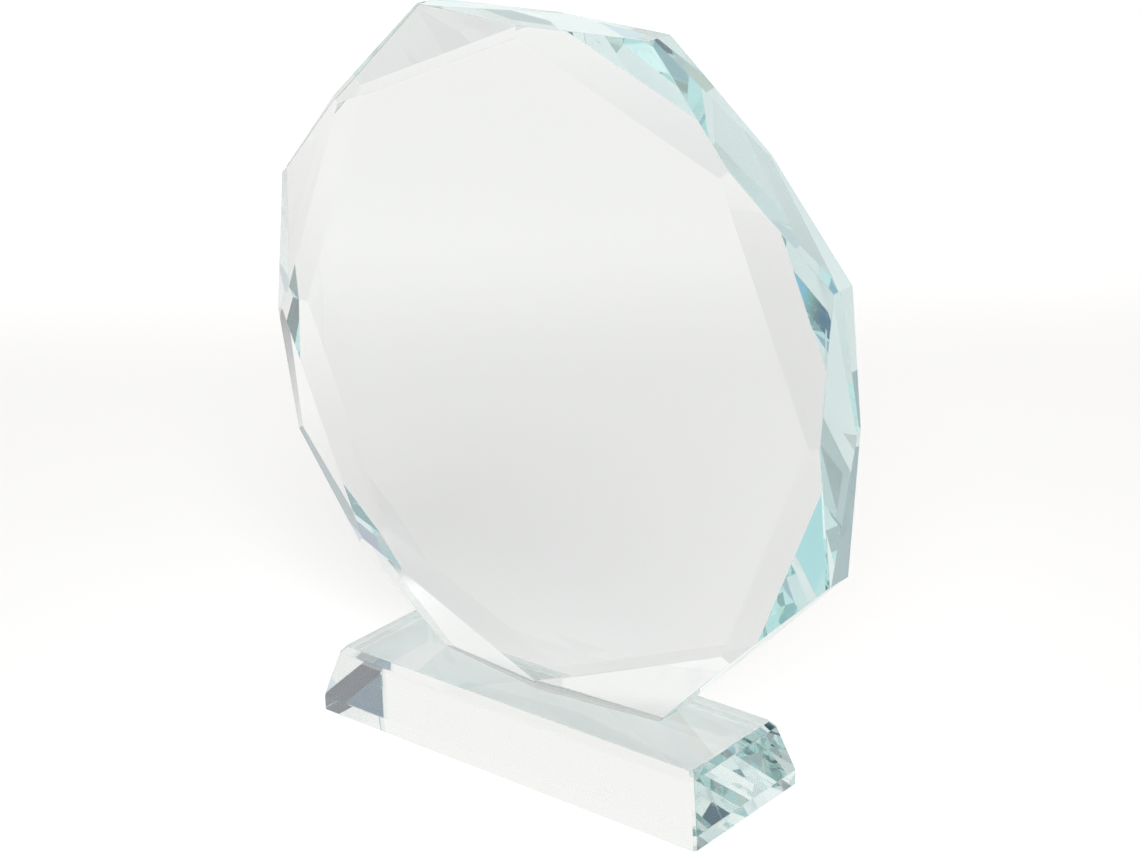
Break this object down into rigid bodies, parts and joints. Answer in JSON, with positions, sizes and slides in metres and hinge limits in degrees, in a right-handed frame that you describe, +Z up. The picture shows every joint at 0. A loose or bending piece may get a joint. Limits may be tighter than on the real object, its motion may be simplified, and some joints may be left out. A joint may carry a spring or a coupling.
{
  "type": "crystal award",
  "caption": "Octagonal clear crystal plaque with ground corner facets, bonded on edge to a bevelled trapezoid crystal base.",
  "frame": {"origin": "centre of the base's underside", "axes": "+Z up, +X along the base's length, the plaque's front face looks towards -Y"},
  "size_m": [0.18, 0.0446, 0.1998],
  "materials": {
    "plaque_crystal": "polished clear",
    "base_crystal": "polished clear",
    "clear_adhesive": "cured clear film"
  },
  "bodies": {
    "root": {"crystal_plaque": "plaque_crystal", "crystal_base": "base_crystal", "adhesive_film": "clear_adhesive"}
  },
  "joints": []
}
